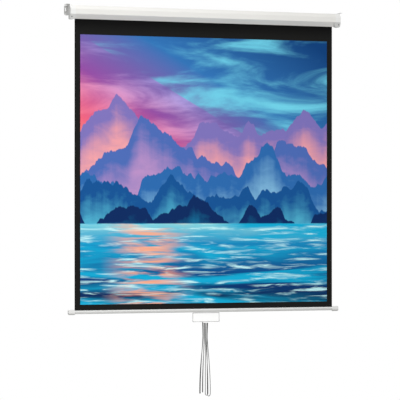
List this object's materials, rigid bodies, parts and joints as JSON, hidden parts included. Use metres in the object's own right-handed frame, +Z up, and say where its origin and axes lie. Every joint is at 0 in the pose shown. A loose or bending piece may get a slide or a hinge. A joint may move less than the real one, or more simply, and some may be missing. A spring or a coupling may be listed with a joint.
{
  "type": "projection screen",
  "caption": "Wall-mounted pull-down projection screen: spring-roller case with end caps and hangers, black-bordered cloth, weight bar, handle plate and looped pull cord.",
  "frame": {"origin": "on the wall plane, midway between the left and right wall screw holes of the hangers", "axes": "+X along the case to the right as seen from the room, +Y into the wall, +Z up"},
  "size_m": [1.98, 0.081, 2.6016],
  "materials": {
    "case_enamel": "satin white enamel on roll-formed steel",
    "cap_plastic": "fine moulded texture",
    "hanger_steel": "galvanised",
    "dark_screw": "black oxide",
    "bright_screw": "zinc plated",
    "bearing_steel": "zinc plated",
    "nylon": "natural nylon",
    "turned_steel": "turned",
    "ratchet_brass": "stamped",
    "spring_steel": "oiled wire",
    "roller_aluminium": "mill finish",
    "screen_fabric": "coated glass-fibre cloth with a printed border",
    "bar_enamel": "satin enamel on extruded aluminium",
    "hem_plastic": "extruded",
    "bar_cap_plastic": "moulded",
    "handle_plastic": "smooth moulded",
    "saddle_plastic": "moulded",
    "braided_cord": "braided polyester"
  },
  "bodies": {
    "housing": {"case_shell": "case_enamel", "left_end_cap": "cap_plastic", "right_end_cap": "cap_plastic", "left_hanger": "hanger_steel", "right_hanger": "hanger_steel", "cap_screws": "dark_screw", "hanger_screws": "bright_screw", "left_bearing_plate": "bearing_steel", "right_bearing_plate": "bearing_steel", "bearing_screws": "bright_screw", "idle_bush": "nylon", "fixed_spindle": "turned_steel", "ratchet_wheel": "ratchet_brass", "spring_rod": "turned_steel", "spring_anchor": "nylon", "torsion_spring": "spring_steel", "screen_cloth": "screen_fabric"},
    "roller": {"roller_tube": "roller_aluminium", "spring_end_plug": "nylon", "rod_bush": "nylon", "idle_end_plug": "nylon", "gudgeon_pin": "turned_steel", "wound_cloth": "screen_fabric", "pawl_pin": "turned_steel"},
    "pawl": {"lock_pawl": "ratchet_brass"},
    "bar": {"weight_bar": "bar_enamel", "hem_rod": "hem_plastic", "left_bar_cap": "bar_cap_plastic", "right_bar_cap": "bar_cap_plastic", "handle_plate": "handle_plastic", "handle_screws": "bright_screw", "cord_saddle": "saddle_plastic", "saddle_screws": "bright_screw", "pull_cord": "braided_cord", "cord_knots": "braided_cord"}
  },
  "joints": [
    {"name": "screen_pull", "type": "slide", "parent": "housing", "child": "bar", "axis": [0, 0, 1], "range_m": [0, 1.903], "deforming": ["screen_cloth"]},
    {"name": "roller_spin", "type": "hinge", "parent": "housing", "child": "roller", "pos_m": [0, -0.04988, -0.012], "axis": [1, 0, 0], "range_deg": [0, 4860]},
    {"name": "pawl_swing", "type": "hinge", "parent": "roller", "child": "pawl", "pos_m": [-0.9365, -0.03732, -0.0033], "axis": [1, 0, 0], "range_deg": [-20, 0]}
  ],
  "couplings": [
    {"joint": "roller_spin", "follows": "screen_pull", "rad_per_m": 44.573}
  ]
}
